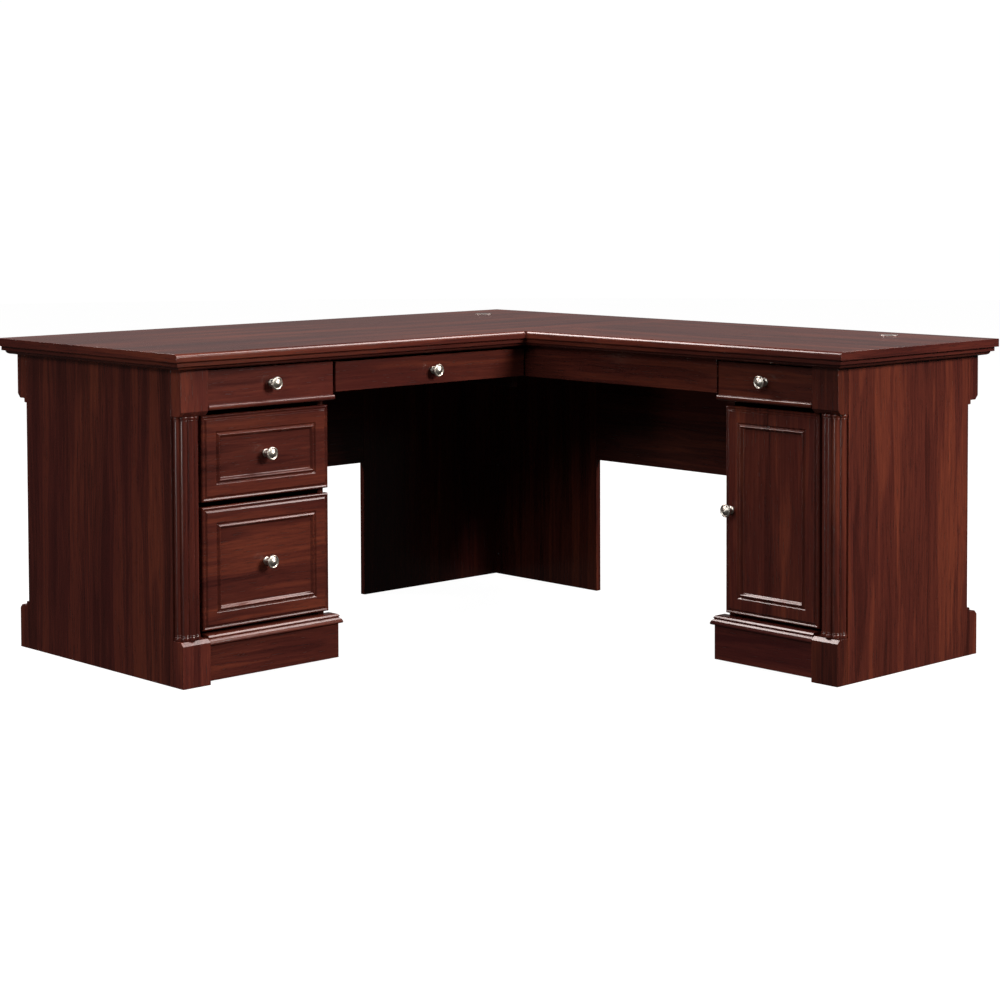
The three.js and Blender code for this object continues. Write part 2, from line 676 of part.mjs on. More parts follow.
function makeCabinet() {
  const wing = wings.return;
  addPiece(wing.group, 'cabinet_door', lowerFront(doorFrom, doorTo, lowerFrontsBottom, lowerFrontsTop),
    cherryLaminate);
  const knobZ = (lowerFrontsBottom + lowerFrontsTop) / 2;
  makeKnob(wing.group, 'cabinet_door_knob', doorTo - grooveInset / 2, knobZ, lowerFrontFace);
  const wall = partitionFrom + panelThickness;
  const shelfFrom = wall + shelfSlack;
  const shelfTo = wing.innerPanelInner - shelfSlack;
  addPiece(wing.group, 'cabinet_shelf',
    board(shelfFrom, shelfTo, carcassFront + shelfFrontSetBack, wing.backPanelFront - shelfSlack,
      shelfHeight, shelfHeight + panelThickness), darkLaminate);
  const heights = {
    upper: lowerFrontsTop - hingeFromDoorEnd,
    lower: lowerFrontsBottom + hingeFromDoorEnd,
  };
  for (const [place, z] of Object.entries(heights)) {
    const plateFrom = wall + joint;
    const plateTo = plateFrom + hingePlateThickness;
    const front = carcassFront + hingeArmSetBack;
    const plate = board(plateFrom, plateTo, front, front + hingePlateLength,
      z - hingePlateHeight / 2, z + hingePlateHeight / 2);
    const arm = board(plateTo - 1, plateTo + hingeArmThickness, front, front + hingePlateLength,
      z - hingeArmHeight / 2, z + hingeArmHeight / 2);
    addPiece(wing.group, `cabinet_hinge_${place}`, joined(plate, arm), steel);
  }
}

// Cable grommets: a flanged cap with a skirt in the worktop's hole and a slot for the cables.
function makeGrommet(group, name, place) {
  const under = worktopHeight + joint;
  const top = under + grommetProud;
  const skirtOuter = grommetHoleRadius - joint;
  const profile = [
    [0, under], [skirtOuter - grommetWall, under], [skirtOuter - grommetWall, worktopHeight - grommetSkirt],
    [skirtOuter, worktopHeight - grommetSkirt], [skirtOuter, under], [grommetFlangeRadius, under],
    [grommetFlangeRadius - 0.5, top], [0, top],
  ];
  const lathe = new THREE.LatheGeometry(profile.map(([x, y]) => new THREE.Vector2(x, y)), grommetSides);
  const bare = BufferGeometryUtils.mergeVertices(stripped(lathe), 1e-4);
  const cap = facingOut(withoutSlivers(bare).rotateX(Math.PI / 2)).translate(place.s, place.d, 0);
  const slotD = place.d - slotOffset;
  const slot = board(place.s - slotLength / 2, place.s + slotLength / 2, slotD - slotWidth / 2,
    slotD + slotWidth / 2, 0, 2 * worktopHeight);
  addPiece(group, name, cut(cap, slot), nickel);
}

makeWorktops();
for (const [name, wing] of Object.entries(wings)) {
  makeCrown(name, wing);
  makeBlocks(name, wing);
  makeColumn(name, wing);
  makeCarcass(name, wing);
  makePlinth(name, wing);
}
makeUpperDrawer('top', wings.main, mainBoxBackSpace);
makeLowerDrawer('middle', wings.main, middleFrontBottom, lowerFrontsTop, mainBoxBackSpace);
makeLowerDrawer('file', wings.main, lowerFrontsBottom, fileFrontTop, mainBoxBackSpace);
makeUpperDrawer('return', wings.return, returnBoxBackSpace);
makeKeyboardShelf();
makeKneehole();
makeCabinet();
makeGrommet(mainWing, 'corner_grommet', cornerGrommet);
makeGrommet(returnWing, 'end_grommet', endGrommet);

export default desk;
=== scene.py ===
"""Corner desk in dark cherry laminate: two wings with drawers, a keyboard shelf and a cabinet."""

import math

import bpy
import numpy as np
from mathutils import Matrix, Vector


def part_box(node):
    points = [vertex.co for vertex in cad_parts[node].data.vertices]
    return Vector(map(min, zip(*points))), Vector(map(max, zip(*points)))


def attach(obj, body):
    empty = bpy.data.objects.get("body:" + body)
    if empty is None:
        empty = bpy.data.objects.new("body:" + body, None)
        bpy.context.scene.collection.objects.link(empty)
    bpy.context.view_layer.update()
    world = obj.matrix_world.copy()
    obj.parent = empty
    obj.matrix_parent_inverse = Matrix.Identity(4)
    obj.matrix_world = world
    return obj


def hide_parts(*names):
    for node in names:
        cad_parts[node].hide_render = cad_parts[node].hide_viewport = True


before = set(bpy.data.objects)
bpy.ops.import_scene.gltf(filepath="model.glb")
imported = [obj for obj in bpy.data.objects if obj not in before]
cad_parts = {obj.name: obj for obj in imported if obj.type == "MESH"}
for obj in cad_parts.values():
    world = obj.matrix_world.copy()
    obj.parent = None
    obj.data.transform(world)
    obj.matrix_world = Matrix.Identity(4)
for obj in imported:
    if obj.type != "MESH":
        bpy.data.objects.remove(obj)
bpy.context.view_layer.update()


# ---- Camera -------------------------------------------------------------------------------------------------
# A long lens at the height of a standing person, looking into the desk's inner corner.

camera = bpy.data.objects.new("camera", bpy.data.cameras.new("camera"))
bpy.context.scene.collection.objects.link(camera)
bpy.context.scene.camera = camera
camera.data.sensor_width = 36.0
camera.data.lens = 83.21
camera.data.shift_x = -0.0249
camera.data.shift_y = -0.22
camera_heading = math.radians(43.672)
camera_pitch = math.radians(2.596)
camera_roll = math.radians(-0.171)
camera.matrix_world = (
    Matrix.Translation((-3.7578, -4.0490, 1.1419))
    @ Matrix.Rotation(-camera_heading, 4, "Z")
    @ Matrix.Rotation(math.pi / 2 - camera_pitch, 4, "X")
    @ Matrix.Rotation(camera_roll, 4, "Z")
)
camera.data.clip_start = 0.1
camera.data.clip_end = 100.0


# ---- Studio -------------------------------------------------------------------------------------------------
# A plain white floor and surround that the desk doesn't mirror. A key light and a broad fill light the fronts,
# two high soft boxes behind the desk draw lines along its mouldings, a narrow card does so on the left column,
# and a low, wide one far behind puts the sheen on the worktops.

bpy.context.scene.view_settings.view_transform = "Standard"


def linear(colour):
    """An sRGB hex colour as linear RGBA: c/12.92 below 0.04045, else ((c + 0.055) / 1.055) ** 2.4."""
    c = np.array([int(colour[i : i + 2], 16) for i in (1, 3, 5)]) / 255
    return (*np.where(c <= 0.04045, c / 12.92, ((c + 0.055) / 1.055) ** 2.4), 1.0)


def node(tree, kind, inputs=(), **settings):
    """Adds a shader node with its settings, and fills each input with a value or links it to a socket."""
    made = tree.nodes.new(kind)
    for name, value in settings.items():
        setattr(made, name, value)
    for name, value in dict(inputs).items():
        if isinstance(value, bpy.types.NodeSocket):
            tree.links.new(value, made.inputs[name])
        else:
            made.inputs[name].default_value = value
    return made


def new_material(name):
    """An empty node material and its tree."""
    material = bpy.data.materials.new(name)
    material.use_nodes = True
    material.node_tree.nodes.clear()
    return material, material.node_tree


studio_radius = 16.0
rim_points = 96
dome_rows = 24

# White paper, overexposed: nearly all of its brightness is its own glow.
paper, tree = new_material("white_paper_floor")
lit = node(tree, "ShaderNodeBsdfDiffuse", {"Color": linear("#606060")})
glow = node(tree, "ShaderNodeEmission", {"Color": linear("#ffffff"), "Strength": 0.985})
both = node(tree, "ShaderNodeAddShader", {0: lit.outputs[0], 1: glow.outputs[0]})
node(tree, "ShaderNodeOutputMaterial", {"Surface": both.outputs[0]})

# The same white behind and above, with no shading at all.
surround, tree = new_material("white_surround")
glow = node(tree, "ShaderNodeEmission", {"Color": linear("#ffffff"), "Strength": 1.02})
node(tree, "ShaderNodeOutputMaterial", {"Surface": glow.outputs[0]})


def studio_surface(name, points, faces, material):
    """A stage mesh that the camera sees, and that gives the desk no light and no reflection."""
    mesh = bpy.data.meshes.new(name)
    mesh.from_pydata(points, [], faces)
    mesh.materials.append(material)
    made = bpy.data.objects.new(name, mesh)
    bpy.context.scene.collection.objects.link(made)
    made.visible_diffuse = False
    made.visible_glossy = False
    return made


turns = np.linspace(0, 2 * np.pi, rim_points + 1)[:-1]
rim = np.stack([np.cos(turns), np.sin(turns), 0 * turns], -1) * studio_radius
studio_surface("studio_floor", rim - (0, 0, 0.0004), [list(range(rim_points))], paper)
lifts = np.radians(np.linspace(-2, 88, dome_rows))[:, None]
dome = studio_radius * np.stack(
    [np.cos(lifts) * np.cos(turns), np.cos(lifts) * np.sin(turns), np.sin(lifts) + 0 * turns], -1
)
columns, rows = np.meshgrid(np.arange(rim_points), np.arange(dome_rows - 1))
corner = rows * rim_points + columns
beside = rows * rim_points + (columns + 1) % rim_points
dome_faces = np.stack([corner, corner + rim_points, beside + rim_points, beside], -1).reshape(-1, 4).tolist()
dome_lid = list(range((dome_rows - 1) * rim_points, dome_rows * rim_points))
shell = studio_surface("studio_surround", dome.reshape(-1, 3), dome_faces + [dome_lid], surround)
shell.visible_shadow = False

world = bpy.data.worlds.new("studio_air")
world.use_nodes = True
world.node_tree.nodes["Background"].inputs["Color"].default_value = linear("#fff8f2")
world.node_tree.nodes["Background"].inputs["Strength"].default_value = 0.03
bpy.context.scene.world = world


def soft_box(name, place, aim, width, height, power, tint="#ffffff"):
    """A rectangular light at a place, turned towards an aim point, with its width level."""
    light = bpy.data.lights.new(name, "AREA")
    light.shape = "RECTANGLE"
    light.size = width
    light.size_y = height
    light.energy = power
    light.color = linear(tint)[:3]
    made = bpy.data.objects.new(name, light)
    made.location = place
    made.rotation_euler = (Vector(aim) - Vector(place)).to_track_quat("-Z", "Y").to_euler()
    made.visible_camera = False
    bpy.context.scene.collection.objects.link(made)


soft_box("key", (1.2, -4.5, 2.7), (0.0, -0.1, 0.4), 1.7, 1.5, 285, "#fff9f2")
soft_box("front_fill", (-5.3, -1.7, 3.7), (0.0, -0.3, 0.4), 4.2, 1.8, 155)
soft_box("left_card", (-4.4, 0.25, 0.35), (-0.7, 0.15, 0.35), 0.3, 0.66, 16)
soft_box("overhead", (-0.9, -0.9, 4.2), (0.0, 0.0, 0.6), 2.0, 2.0, 45)
soft_box("back_left", (-1.1, 3.6, 4.5), (0.27, -0.6, 0.4), 3.4, 1.8, 330, "#fff0ec")
soft_box("back_right", (3.5, -1.2, 4.6), (-0.5, 0.1, 0.4), 3.4, 1.8, 250, "#fff0ec")
soft_box("far_sheen", (5.8, 6.2, 2.1), (0.0, 0.0, 0.75), 7.0, 2.6, 8)


# ---- Worktops -----------------------------------------------------------------------------------------------
# Two boards of dark cherry laminate, the return's butted against the main one's front edge. The front edges
# are wrapped over a rounded nose, the others are flat edge bands, whose grain runs along the edge. Each board
# has a round hole for a cable grommet.

CHERRY_DARK = "#2a0f0c"
CHERRY_MID = "#4d221a"
CHERRY_LIGHT = "#6f3524"
CHERRY_WINE = "#3c1415"
CHERRY_PORE = "#1d0b0a"
AXES = "XYZ"


def stretched(along, across_mm, along_mm):
    """Pattern scale per metre on X, Y and Z for a grain that runs along one of them."""
    return [1000 / (along_mm if axis == along else across_mm) for axis in AXES]


def cherry_laminate(name, along, tone=1.0, gloss=0.22):
    """Printed cherry grain under a hard semi-gloss film: broad tonal bands, finer streaks, arched figure and
    short dark pores, all stretched along one axis. tone lightens or darkens the print, and gloss is the film's
    roughness. Pattern widths and lengths are in millimetres."""
    material, tree = new_material(name)
    place = node(tree, "ShaderNodeTexCoord").outputs["Object"]
    drift_at = node(tree, "ShaderNodeMapping", {"Vector": place, "Scale": stretched(along, 110, 420)})
    drift = node(tree, "ShaderNodeTexNoise", {"Vector": drift_at.outputs[0], "Scale": 1.0, "Detail": 2.0})
    centred = node(
        tree, "ShaderNodeVectorMath", {0: drift.outputs["Color"], 1: (0.5, 0.5, 0.5)}, operation="SUBTRACT"
    )
    sway = node(tree, "ShaderNodeVectorMath", {0: centred.outputs[0], "Scale": 0.030}, operation="SCALE")
    bent = node(tree, "ShaderNodeVectorMath", {0: place, 1: sway.outputs[0]}, operation="ADD").outputs[0]
    band_at = node(tree, "ShaderNodeMapping", {"Vector": bent, "Scale": stretched(along, 52, 1100)})
    bands = node(
        tree, "ShaderNodeTexNoise",
        {"Vector": band_at.outputs[0], "Scale": 1.0, "Detail": 3.0, "Roughness": 0.55},
    ).outputs["Fac"]
    streak_at = node(tree, "ShaderNodeMapping", {"Vector": bent, "Scale": stretched(along, 6, 260)})
    streaks = node(
        tree, "ShaderNodeTexNoise",
        {"Vector": streak_at.outputs[0], "Scale": 1.0, "Detail": 5.0, "Roughness": 0.68},
    ).outputs["Fac"]
    arch_turns = node(tree, "ShaderNodeMath", {0: bands, 1: 46.0}, operation="MULTIPLY")
    arches = node(tree, "ShaderNodeMath", {0: arch_turns.outputs[0]}, operation="SINE")
    arch_share = node(tree, "ShaderNodeMath", {0: arches.outputs[0], 1: 0.055}, operation="MULTIPLY")
    streak_share = node(
        tree, "ShaderNodeMath", {0: streaks, 1: 0.55, 2: arch_share.outputs[0]}, operation="MULTIPLY_ADD"
    )
    figure = node(
        tree, "ShaderNodeMath", {0: bands, 1: 1.05, 2: streak_share.outputs[0]}, operation="MULTIPLY_ADD"
    )
    spread = node(
        tree, "ShaderNodeMapRange", {"Value": figure.outputs[0], "From Min": 0.50, "From Max": 1.10}
    ).outputs[0]
    ramp = node(tree, "ShaderNodeValToRGB", {"Fac": spread})
    ramp.color_ramp.elements[0].color = linear(CHERRY_DARK)
    ramp.color_ramp.elements[1].color = linear(CHERRY_LIGHT)
    ramp.color_ramp.elements.new(0.5).color = linear(CHERRY_MID)
    tint_at = node(tree, "ShaderNodeMapping", {"Vector": place, "Scale": stretched(along, 190, 700)})
    tint = node(tree, "ShaderNodeTexNoise", {"Vector": tint_at.outputs[0], "Scale": 1.0, "Detail": 1.0})
    tint_share = node(
        tree, "ShaderNodeMapRange",
        {"Value": tint.outputs["Fac"], "From Min": 0.35, "From Max": 0.7, "To Max": 0.45},
    )
    wine = node(
        tree, "ShaderNodeMix",
        {"Factor": tint_share.outputs[0], "A": ramp.outputs[0], "B": linear(CHERRY_WINE)},
        data_type="RGBA",
    )
    pore_at = node(tree, "ShaderNodeMapping", {"Vector": bent, "Scale": stretched(along, 2.4, 46)})
    pores = node(tree, "ShaderNodeTexNoise", {"Vector": pore_at.outputs[0], "Scale": 1.0, "Detail": 2.0})
    pore_share = node(
        tree, "ShaderNodeMapRange",
        {"Value": pores.outputs["Fac"], "From Min": 0.54, "From Max": 0.74, "To Max": 0.62},
    ).outputs[0]
    print_colour = node(
        tree, "ShaderNodeMix",
        {"Factor": pore_share, "A": wine.outputs["Result"], "B": linear(CHERRY_PORE)},
        data_type="RGBA",
    )
    toned = node(
        tree, "ShaderNodeVectorMath", {0: print_colour.outputs["Result"], "Scale": tone}, operation="SCALE"
    )
    film = node(
        tree, "ShaderNodeMapRange", {"Value": pore_share, "To Min": gloss, "To Max": gloss + 0.12}
    )
    relief = node(tree, "ShaderNodeMath", {0: streaks, 1: -0.4, 2: pore_share}, operation="MULTIPLY_ADD")
    bump = node(
        tree, "ShaderNodeBump", {"Height": relief.outputs[0], "Strength": 0.09, "Distance": 0.0002}, invert=True
    )
    surface = node(
        tree, "ShaderNodeBsdfPrincipled",
        {"Base Color": toned.outputs[0], "Roughness": film.outputs[0], "Normal": bump.outputs[0], "IOR": 1.5},
    )
    node(tree, "ShaderNodeOutputMaterial", {"Surface": surface.outputs[0]})
    return material


# Cherry laminate in one print per grain direction. A pale copy lightens the main front frieze and plinth
# blocks, the top drawer front and the return's plinth rail, and on the main plinth block it stands in for a
# painted sheen. A deep copy darkens the return's left-facing drawer front, apron and front blocks as painted
# shade.
cherry = {axis: cherry_laminate(f"cherry_laminate_grain_{axis.lower()}", axis) for axis in AXES}
pale_and_sheen = {axis: cherry_laminate(f"pale_cherry_laminate_grain_{axis.lower()}", axis, tone=1.35) for axis in AXES}
painted_shade = {axis: cherry_laminate(f"deep_cherry_laminate_grain_{axis.lower()}", axis, tone=0.70) for axis in AXES}
print_of = {
    "main_front_frieze_block": pale_and_sheen, "main_front_plinth_block": pale_and_sheen, "top_drawer_front": pale_and_sheen,
    "return_plinth_rail": pale_and_sheen, "return_drawer_front": painted_shade, "return_apron": painted_shade,
    "return_front_plinth_block": painted_shade, "return_front_frieze_block": painted_shade,
}

main_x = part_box("main_end_panel")[0].x
main_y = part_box("main_front_plinth_block")[0].y
return_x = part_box("return_front_plinth_block")[0].x
return_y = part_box("return_end_panel")[0].y


def in_room(points, wing):
    """Places in a wing turned into places in the room, in metres. In the wing, in millimetres, s runs inwards
    from the end panel, d back from the front blocks, and z up."""
    p = np.asarray(points, float) / 1000
    if wing == "main":
        return p + (main_x, main_y, 0)
    return p[..., [1, 0, 2]] + (return_x, return_y, 0)


def wing_box(name, wing):
    """A CAD piece's low and high (s, d, z) in its wing, in millimetres."""
    low, high = (np.array(corner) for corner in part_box(name))
    if wing == "main":
        origin, order = (main_x, main_y, 0), [0, 1, 2]
    else:
        origin, order = (return_x, return_y, 0), [1, 0, 2]
    return ((low - origin) * 1000)[order], ((high - origin) * 1000)[order]


def eased(corners, radii, steps=4):
    """The outline through the corners, each one replaced by an arc of its radius that touches both sides."""
    corners = np.asarray(corners, float)
    made = []
    for i, (at, radius) in enumerate(zip(corners, radii)):
        if radius == 0:
            made.append(at[None])
            continue
        back = corners[i - 1] - at
        ahead = corners[(i + 1) % len(corners)] - at
        back, ahead = back / np.linalg.norm(back), ahead / np.linalg.norm(ahead)
        half = math.acos(np.clip(back @ ahead, -1, 1)) / 2
        centre = at + (back + ahead) / np.linalg.norm(back + ahead) * radius / math.sin(half)
        first = at + back * radius / math.tan(half) - centre
        last = at + ahead * radius / math.tan(half) - centre
        sweep = math.pi - 2 * half
        t = np.linspace(0, 1, steps + 1)[:, None]
        made.append(centre + (np.sin((1 - t) * sweep) * first + np.sin(t * sweep) * last) / math.sin(sweep))
    return np.concatenate(made)


def drawn_in(outline, amount):
    """The outline moved in by an amount, each corner along the mean of its two sides' normals."""
    side = np.roll(outline, -1, 0) - outline
    side = side / np.linalg.norm(side, axis=1)[:, None]
    area = np.sum(outline[:, 0] * np.roll(outline[:, 1], -1) - outline[:, 1] * np.roll(outline[:, 0], -1))
    normal = np.stack([-side[:, 1], side[:, 0]], -1) * np.sign(area)
    before = np.roll(normal, 1, 0)
    return outline + amount * (normal + before) / (1 + np.sum(normal * before, 1))[:, None]


def skin(rings, closed=False):
    """Points and faces over rings[r, p]: a quad from each point to the next on its ring and on the next ring,
    and a cap on the first and last ring unless the rings run round."""
    rings = np.asarray(rings, float)
    count, size = rings.shape[:2]
    ring = np.arange(count if closed else count - 1)[:, None] * size
    after = (ring + size) % (count * size)
    point = np.arange(size)[None, :]
    ahead = (point + 1) % size
    faces = np.stack([ring + point, ring + ahead, after + ahead, after + point], -1).reshape(-1, 4).tolist()
    if not closed:
        faces += [list(range(size))[::-1], list(range((count - 1) * size, count * size))]
    return rings.reshape(-1, 3), faces


def length_of(section, low, high, ease=0.6, steps=3):
    """Rings (s, d, z) of a section of (d, z) points carried along s, with its two end edges eased."""
    turn = np.radians(np.linspace(12, 90, steps + 1))
    inset, along = ease * (1 - np.sin(turn)), ease * (1 - np.cos(turn))
    rings = [np.insert(drawn_in(section, a), 0, low + b, axis=1) for a, b in zip(inset, along)]
    rings += [np.insert(drawn_in(section, a), 0, high - b, axis=1) for a, b in zip(inset[::-1], along[::-1])]
    return np.array(rings)


def six_volumes(points, faces):
    """Six times the volume inside the faces, negative when they point in."""
    total = 0.0
    for size in {len(face) for face in faces}:
        corners = points[np.array([face for face in faces if len(face) == size])]
        for i in range(1, size - 1):
            total += np.sum(corners[:, 0] * np.cross(corners[:, i], corners[:, i + 1]))
    return total


pieces = []
crease_degrees = 35


def add_piece(name, skins, material, body, stands_for=(), crease=crease_degrees):
    """One object from closed skins in metres, each turned to face out, and smooth up to the crease angle in
    degrees. It rides on its body and stands for CAD pieces, if any."""
    points, faces = [], []
    for some_points, some_faces in skins:
        start = sum(len(p) for p in points)
        faces_in = six_volumes(some_points, some_faces) < 0
        faces += [[start + k for k in (face[::-1] if faces_in else face)] for face in some_faces]
        points.append(some_points)
    mesh = bpy.data.meshes.new(name)
    mesh.from_pydata(np.concatenate(points), [], faces)
    mesh.materials.append(material)
    mesh.shade_smooth()
    mesh.set_sharp_from_angle(angle=math.radians(crease))
    made = bpy.data.objects.new(name, mesh)
    bpy.context.scene.collection.objects.link(made)
    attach(made, body)
    if stands_for:
        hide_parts(*stands_for)
    pieces.append(made)
    return made


nose_radius = 9.0
under_nose_radius = 3.0
band_ease = 0.9
hole_radius = 19.0
grain_of = {"main": {"s": "X", "d": "Y", "z": "Z"}, "return": {"s": "Y", "d": "X", "z": "Z"}}


def worktop_section(front, back, under, top):
    """The worktop's (d, z) outline: a rectangle with the nose's two radii at its front and eased back edges."""
    radii = [under_nose_radius, band_ease, band_ease, nose_radius]
    return eased([[front, under], [back, under], [back, top], [front, top]], radii, 10)


def bored(board, wing, centre):
    """Cuts a grommet's round hole through a worktop."""
    t = np.linspace(0, 2 * np.pi, 65)[:-1]
    ring = np.stack([centre[0] + hole_radius * np.cos(t), centre[1] + hole_radius * np.sin(t), 0 * t], -1)
    points, faces = skin([in_room(ring + (0, 0, z), wing) for z in (700, 800)])
    drill = bpy.data.objects.new("drill", bpy.data.meshes.new("drill"))
    if six_volumes(points, faces) < 0:
        faces = [face[::-1] for face in faces]
    drill.data.from_pydata(points, [], faces)
    bpy.context.scene.collection.objects.link(drill)
    cut = board.modifiers.new("hole", "BOOLEAN")
    cut.object = drill
    cut.operation = "DIFFERENCE"
    cut.solver = "EXACT"
    bpy.context.view_layer.update()
    shaped = bpy.data.meshes.new_from_object(board.evaluated_get(bpy.context.evaluated_depsgraph_get()))
    board.modifiers.clear()
    old = board.data
    board.data = shaped
    bpy.data.meshes.remove(old)
    bpy.data.objects.remove(drill)
    board.data.set_sharp_from_angle(angle=math.radians(crease_degrees))


grommets = {"main": "corner_grommet", "return": "end_grommet"}
for wing in ("main", "return"):
    low, high = wing_box(f"{wing}_top", wing)
    section = worktop_section(low[1], high[1], low[2], high[2])
    rings = length_of(section, low[0], high[0], band_ease)
    if wing == "main":
        # The nose stops where the return's top butts against the front edge, which is square from there on.
        nose_end = wing_box("return_top", "main")[0][0]
        square = section.copy()
        square[section[:, 0] < low[1] + nose_radius, 0] = low[1]
        stop = [np.insert(section, 0, nose_end - 0.05, axis=1), np.insert(square, 0, nose_end, axis=1)]
        rings = np.concatenate([rings[:4], stop, length_of(square, low[0], high[0], band_ease)[4:]])
    board = add_piece(
        f"{wing}_worktop", [skin(in_room(rings, wing))], cherry[grain_of[wing]["s"]], "carcass",
        [f"{wing}_top"],
    )
    grommet_low, grommet_high = wing_box(grommets[wing], wing)
    bored(board, wing, (grommet_low + grommet_high)[:2] / 2)
    board.data.materials.append(cherry[grain_of[wing]["d"]])
    facing = np.empty(3 * len(board.data.polygons))
    board.data.polygons.foreach_get("normal", facing)
    end_band = np.abs(facing.reshape(-1, 3)[:, AXES.index(grain_of[wing]["s"])]) > 0.7
    board.data.polygons.foreach_set("material_index", end_band.astype(int))


# ---- Crown mouldings ----------------------------------------------------------------------------------------
# Wrapped strips under the worktop's overhang: a square fillet over a swelling step that runs back to the
# blocks. Six strips, mitred at the outer corners and at the inner one.

crown_reach = 27.5
fillet_height = 10.2
wall_gap = 0.3
mitre_gap = 0.15
crown_steps = [
    (crown_reach, 0.0), (20.5, 0.0), (20.5, -2.0), (18.6, -6.2), (14.0, -8.4), (3.0, -10.0), (wall_gap, -10.6),
]
crown_radii = [0.0, 0.8, 0.9, 0.5, 0.8, 5.0, 1.2, 1.6, 0.0]


def mitred_run(section, start, end, start_skew, end_skew):
    """Rings of an (out, z) section carried from one (s, d) point to another. out points to the right of the
    run, and each end is cut on a slant: skew times out longer."""
    start, end = np.array(start, float), np.array(end, float)
    ahead = (end - start) / np.linalg.norm(end - start)
    right = np.array([ahead[1], -ahead[0]])
    rings = []
    for at, lean in ((start, -start_skew), (end, end_skew)):
        plan = at + section[:, :1] * (right + lean * ahead)
        rings.append(np.concatenate([plan, section[:, 1:]], 1))
    return np.array(rings)


for wing in ("main", "return"):
    low, high = wing_box(f"{wing}_crown_front", wing)
    step_z = high[2] - fillet_height
    corners = [(wall_gap, high[2]), (crown_reach, high[2])] + [(out, step_z + up) for out, up in crown_steps]
    section = eased(corners, crown_radii, 5)
    inner_corner = high[0] + wall_gap
    back_face = wing_box(f"{wing}_back_frieze_block", wing)[1][1]
    far_corner = wing_box(f"{wing}_crown_back", wing)[1][0] - crown_reach
    runs = {
        "front": ((mitre_gap, 0), (inner_corner, 0), 1, -1),
        "end": ((0, back_face - mitre_gap), (0, mitre_gap), 1, 1),
        "back": ((far_corner, back_face), (mitre_gap, back_face), 1, 1),
    }
    for part, (start, end, start_skew, end_skew) in runs.items():
        along = grain_of[wing]["d" if part == "end" else "s"]
        rings = mitred_run(section, start, end, start_skew, end_skew)
        add_piece(
            f"{wing}_crown_{part}_strip", [skin(in_room(rings, wing))], cherry[along], "carcass",
            [f"{wing}_crown_{part}"],
        )


# ---- Corner blocks ------------------------------------------------------------------------------------------
# Solid-looking blocks at the head and foot of each end panel, wrapped in laminate with upright grain. Those at
# the back have a small neck moulding where they meet the panel.

block_ease = 0.9
chamfer_ease = 1.6
neck_height = 10.0
neck_proud = 9.0
slope_of = {"plinth": 8.5, "frieze": 10.0}

for wing in ("main", "return"):
    for end in ("front", "back"):
        for level in ("frieze", "plinth"):
            name = f"{wing}_{end}_{level}_block"
            low, high = wing_box(name, wing)
            outward = -1 if end == "front" else 1
            face = low[1] if end == "front" else high[1]
            inner = high[1] if end == "front" else low[1]
            top, foot = high[2], low[2]
            upward = 1 if level == "plinth" else -1
            neck = neck_height if end == "back" else 0.0
            slope = slope_of[level]
            shoulder = (top - neck) if level == "plinth" else (foot + neck)
            base = foot if level == "plinth" else top
            corners = [
                (inner, base), (face, base), (face, shoulder - upward * slope),
                (face - outward * slope, shoulder),
            ]
            radii = [0.3, block_ease, 2.5, chamfer_ease]
            if neck:
                proud = inner + outward * neck_proud
                neck_end = shoulder + upward * neck
                corners += [(proud, shoulder), (proud, neck_end), (inner, neck_end)]
                radii += [0.8, 2.6, 0.3]
            else:
                corners += [(inner, shoulder)]
                radii += [0.3]
            outline = eased(corners, radii, 4)
            rings = length_of(outline, low[0], high[0], 0.25 if neck else block_ease)
            add_piece(
                f"{name}_body", [skin(in_room(rings, wing))], print_of.get(name, cherry)["Z"], "carcass",
                [name],
            )


# ---- Half columns -------------------------------------------------------------------------------------------
# A cluster of five slender reeds, half round, between the front blocks. A lobed ring closes it at each end.

reeds = 5
reed_points = 14
reed_depth = 4.4
reed_roundness = 0.7
ring_proud = 1.9
foot_ring_stretch = 1.25
ring_shape = [
    (0.0, 0.8), (0.4, 1.3), (1.4, 1.85), (3.2, 2.0), (5.2, 1.9), (6.9, 1.3), (7.7, 0.5), (8.0, 0.0), (8.3, 0.6),
    (9.2, 1.0), (10.2, 0.8), (10.8, 0.0),
]

for wing in ("main", "return"):
    low, high = wing_box(f"{wing}_column", wing)
    radius = high[1] - low[1] - ring_proud - 0.1
    centre_s = (low[0] + high[0]) / 2
    across = np.linspace(0, 1, reeds * reed_points + 1)
    angle = np.pi * across
    # The radius falls to the reed depth at each valley, by one minus a power of the sine across the reed.
    lobe = reed_depth * (1 - np.sin(np.pi * (across * reeds % 1)) ** reed_roundness)
    foot = [(low[2] + up * foot_ring_stretch, out) for up, out in ring_shape]
    head = [(high[2] - up, out) for up, out in ring_shape][::-1]
    levels = foot + head
    rings = []
    for z, out in levels:
        r = radius + out - lobe
        s = centre_s - r * np.cos(angle)
        d = high[1] - r * np.sin(angle)
        rings.append(np.stack([s, d, np.full_like(s, z)], -1))
    add_piece(
        f"{wing}_reeded_column", [skin(in_room(rings, wing))], cherry["Z"], "carcass",
        [f"{wing}_column"], crease=50,
    )


# ---- Carcass boards -----------------------------------------------------------------------------------------
# Sixteen-millimetre boards with banded edges: end panels, inner panels, pedestal backs, the corner leg's two
# boards, the modesty panels and the return's apron show; partitions, bottoms, shelf and hanger are inside.


